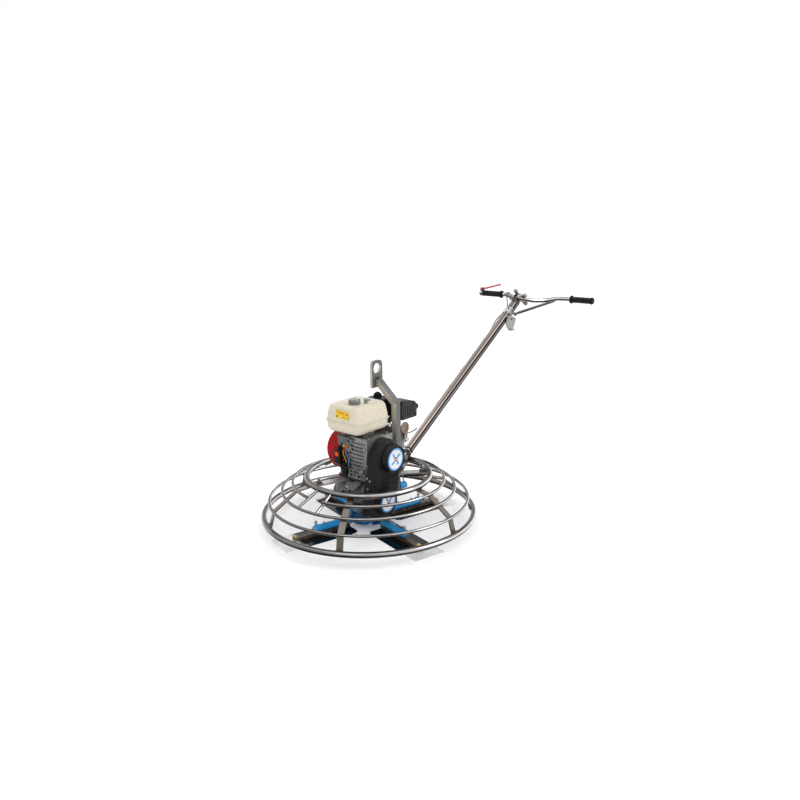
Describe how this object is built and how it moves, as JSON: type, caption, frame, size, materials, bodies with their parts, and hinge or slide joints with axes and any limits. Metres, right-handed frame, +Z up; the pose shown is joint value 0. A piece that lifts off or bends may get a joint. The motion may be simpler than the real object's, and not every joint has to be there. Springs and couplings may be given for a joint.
{
  "type": "power trowel",
  "caption": "Walk-behind concrete power trowel with a ring guard, petrol engine, belt-driven worm gearbox, pitching blades and a long T-handle.",
  "frame": {"origin": "rotor axis at floor level", "axes": "+Z up, +X from the rotor towards the operator's handle, +Y towards the recoil starter"},
  "size_m": [1.9408, 0.97, 0.9505],
  "materials": {
    "chrome_ring": "polished tube",
    "spoke_steel": "bare flat bar, warm brushed",
    "zinc_bolt": "zinc plated",
    "cast_aluminium": "cast",
    "grey_casting": "painted casting",
    "bearing_steel": "ground",
    "black_plate": "satin black",
    "red_cover": "gloss red",
    "tank_cream": "gloss cream",
    "black_plastic": "moulded",
    "knob_black": "moulded",
    "cap_metal": "plated",
    "button_red": "moulded",
    "wire_skin": "pvc",
    "belt_rubber": "wrapped",
    "galvanised": "galvanised",
    "blue_paint": "gloss blue",
    "polished_steel": "polished stainless",
    "blade_steel": "mirror polished",
    "worm_bronze": "bronze",
    "rubber_grip": "moulded",
    "lever_pink": "sleeve",
    "cable_black": "pvc",
    "wire_rope": "wire rope"
  },
  "bodies": {
    "frame": {"outer_ring": "chrome_ring", "lower_ring": "chrome_ring", "middle_ring": "chrome_ring", "upper_ring": "chrome_ring", "top_ring": "chrome_ring", "guard_spokes": "spoke_steel", "guard_arms": "galvanised", "fasteners": "zinc_bolt", "gearbox_housing": "grey_casting", "gearbox_cover": "grey_casting", "bearings": "bearing_steel", "frame_plate": "black_plate", "crankcase": "cast_aluminium", "cylinder_head": "cast_aluminium", "fan_housing": "red_cover", "recoil_cover": "red_cover", "fuel_tank": "tank_cream", "carburettor": "cast_aluminium", "air_cleaner_cover": "black_plastic", "muffler": "black_plate", "switch_box": "black_plastic", "wiring_loom": "wire_skin", "drive_belt": "belt_rubber", "belt_guard_back": "black_plate", "belt_guard_cover": "black_plastic", "lifting_arm": "galvanised", "handle_base": "galvanised"},
    "crank": {"crankshaft": "bearing_steel", "clutch_pulley": "grey_casting"},
    "worm": {"worm_shaft": "bearing_steel", "worm_pulley": "grey_casting"},
    "rotor": {"output_shaft": "bearing_steel", "worm_wheel": "worm_bronze", "rotor_hub": "blue_paint"},
    "collar": {"thrust_collar": "blue_paint"},
    "yoke": {"yoke_fork": "blue_paint", "pitch_cable": "wire_rope"},
    "handle": {"handle_tube": "polished_steel", "handle_clamp": "galvanised", "handlebar": "polished_steel", "grips": "rubber_grip", "lever_mounts": "cap_metal", "throttle_cable": "cable_black"},
    "pitch_wheel": {"pitch_wheel": "galvanised"},
    "safety_lever": {"safety_lever": "lever_pink"},
    "throttle_lever": {"throttle_lever": "cap_metal"},
    "fuel_cap": {"fuel_cap": "cap_metal"},
    "cleaner_knob": {"cleaner_knob": "knob_black"},
    "choke_lever": {"choke_lever": "zinc_bolt"},
    "fuel_lever": {"fuel_lever": "knob_black"},
    "pull_grip": {"pull_grip": "knob_black"},
    "switch_button": {"switch_button": "button_red"},
    "arm_1": {"arm_1": "blue_paint", "blade_1": "blade_steel"},
    "arm_2": {"arm_2": "blue_paint", "blade_2": "blade_steel"},
    "arm_3": {"arm_3": "blue_paint", "blade_3": "blade_steel"},
    "arm_4": {"arm_4": "blue_paint", "blade_4": "blade_steel"}
  },
  "joints": [
    {"name": "rotor_spin", "type": "hinge", "parent": "frame", "child": "rotor", "pos_m": [0, 0, 0.1], "axis": [0, 0, 1], "continuous": true},
    {"name": "worm_spin", "type": "hinge", "parent": "frame", "child": "worm", "pos_m": [-0.06, 0, 0.147], "axis": [0, 1, 0], "continuous": true},
    {"name": "crank_spin", "type": "hinge", "parent": "frame", "child": "crank", "pos_m": [-0.02, 0, 0.339], "axis": [0, 1, 0], "continuous": true},
    {"name": "arm_1_pitch", "type": "hinge", "parent": "rotor", "child": "arm_1", "pos_m": [0, 0, 0.035], "axis": [0.2588, 0.9659, 0], "range_deg": [0, 20]},
    {"name": "arm_2_pitch", "type": "hinge", "parent": "rotor", "child": "arm_2", "pos_m": [0, 0, 0.035], "axis": [-0.9659, 0.2588, 0], "range_deg": [0, 20]},
    {"name": "arm_3_pitch", "type": "hinge", "parent": "rotor", "child": "arm_3", "pos_m": [0, 0, 0.035], "axis": [-0.2588, -0.9659, 0], "range_deg": [0, 20]},
    {"name": "arm_4_pitch", "type": "hinge", "parent": "rotor", "child": "arm_4", "pos_m": [0, 0, 0.035], "axis": [0.9659, -0.2588, 0], "range_deg": [0, 20]},
    {"name": "collar_slide", "type": "slide", "parent": "rotor", "child": "collar", "axis": [0, 0, 1], "range_m": [-0.0135, 0]},
    {"name": "yoke_tilt", "type": "hinge", "parent": "frame", "child": "yoke", "pos_m": [0.125, 0, 0.131], "axis": [0, 1, 0], "range_deg": [-6.5, 0]},
    {"name": "pitch_wheel_turn", "type": "hinge", "parent": "handle", "child": "pitch_wheel", "pos_m": [1.2364, 0, 0.88757], "axis": [0.8387, 0, 0.5446], "range_deg": [0, 1440]},
    {"name": "handle_fold", "type": "hinge", "parent": "frame", "child": "handle", "pos_m": [0.23, 0, 0.234], "axis": [0, -1, 0], "range_deg": [0, 40]},
    {"name": "safety_lever_squeeze", "type": "hinge", "parent": "handle", "child": "safety_lever", "pos_m": [1.434, 0.3612, 0.9102], "axis": [1, 0, 0], "range_deg": [0, 12], "stiffness_Nm_per_rad": 0.6},
    {"name": "throttle_turn", "type": "hinge", "parent": "handle", "child": "throttle_lever", "pos_m": [1.41907, 0.1758, 0.88788], "axis": [0.594, 0.8037, -0.0349], "range_deg": [0, 55]},
    {"name": "fuel_cap_turn", "type": "hinge", "parent": "frame", "child": "fuel_cap", "pos_m": [-0.08, 0, 0.58], "axis": [0, 0, 1], "range_deg": [0, 90]},
    {"name": "cleaner_knob_turn", "type": "hinge", "parent": "frame", "child": "cleaner_knob", "pos_m": [0.134, 0.056, 0.56], "axis": [0, 0, 1], "range_deg": [0, 1080]},
    {"name": "choke_turn", "type": "hinge", "parent": "frame", "child": "choke_lever", "pos_m": [0.126, 0.1051, 0.408], "axis": [0, 1, 0], "range_deg": [0, 35]},
    {"name": "fuel_tap_turn", "type": "hinge", "parent": "frame", "child": "fuel_lever", "pos_m": [0.126, 0.1051, 0.391], "axis": [0, 1, 0], "range_deg": [-40, 0]},
    {"name": "starter_pull", "type": "slide", "parent": "frame", "child": "pull_grip", "axis": [0.8, 0, 0.6], "range_m": [0, 0.45], "stiffness_N_per_m": 15, "springref_m": -0.1},
    {"name": "switch_rock", "type": "hinge", "parent": "frame", "child": "switch_button", "pos_m": [-0.131, 0.059, 0.345], "axis": [0, 1, 0], "range_deg": [-9, 0]}
  ],
  "couplings": [
    {"joint": "worm_spin", "follows": "rotor_spin", "ratio": 20},
    {"joint": "crank_spin", "follows": "rotor_spin", "ratio": 27.37},
    {"joint": "arm_2_pitch", "follows": "arm_1_pitch", "ratio": 1},
    {"joint": "arm_3_pitch", "follows": "arm_1_pitch", "ratio": 1},
    {"joint": "arm_4_pitch", "follows": "arm_1_pitch", "ratio": 1},
    {"joint": "collar_slide", "follows": "arm_1_pitch", "m_per_rad": -0.0375},
    {"joint": "yoke_tilt", "follows": "arm_1_pitch", "ratio": -0.29},
    {"joint": "pitch_wheel_turn", "follows": "arm_1_pitch", "ratio": 72}
  ]
}
